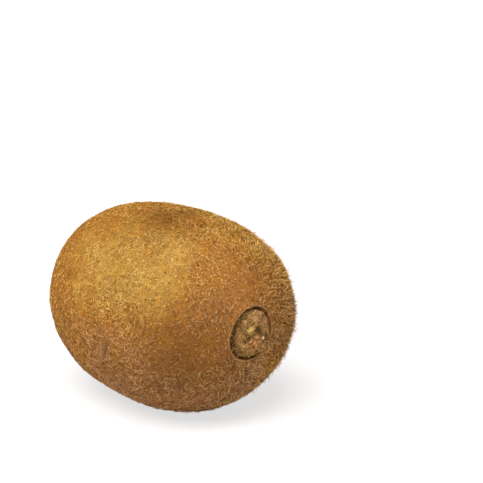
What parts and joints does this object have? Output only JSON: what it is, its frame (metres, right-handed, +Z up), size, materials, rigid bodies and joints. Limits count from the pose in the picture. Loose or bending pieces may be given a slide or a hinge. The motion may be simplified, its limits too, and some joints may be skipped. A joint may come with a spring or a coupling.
{
  "type": "kiwi fruit",
  "caption": "Whole kiwi fruit lying on its side, with fuzzy golden-brown skin, a ringed dried calyx at the stem end and a small dry tuft at the blossom end.",
  "frame": {"origin": "on the ground, under the middle of the fruit's box as it lies on its side", "axes": "+X along the core from the blossom end to the stem end, +Z up, +Y across the fruit"},
  "size_m": [0.0704, 0.0534, 0.0509],
  "materials": {
    "skin": "matt golden brown skin with darker specks",
    "fuzz": "dense coat of short tan hairs with longer bristles, matt",
    "calyx": "dry matted sepals, grey tan with an olive middle, quite matt",
    "styles": "dry dark brown threads, quite matt"
  },
  "bodies": {
    "root": {"fruit": "skin", "dried_calyx": "calyx", "dried_styles": "styles"}
  },
  "joints": []
}
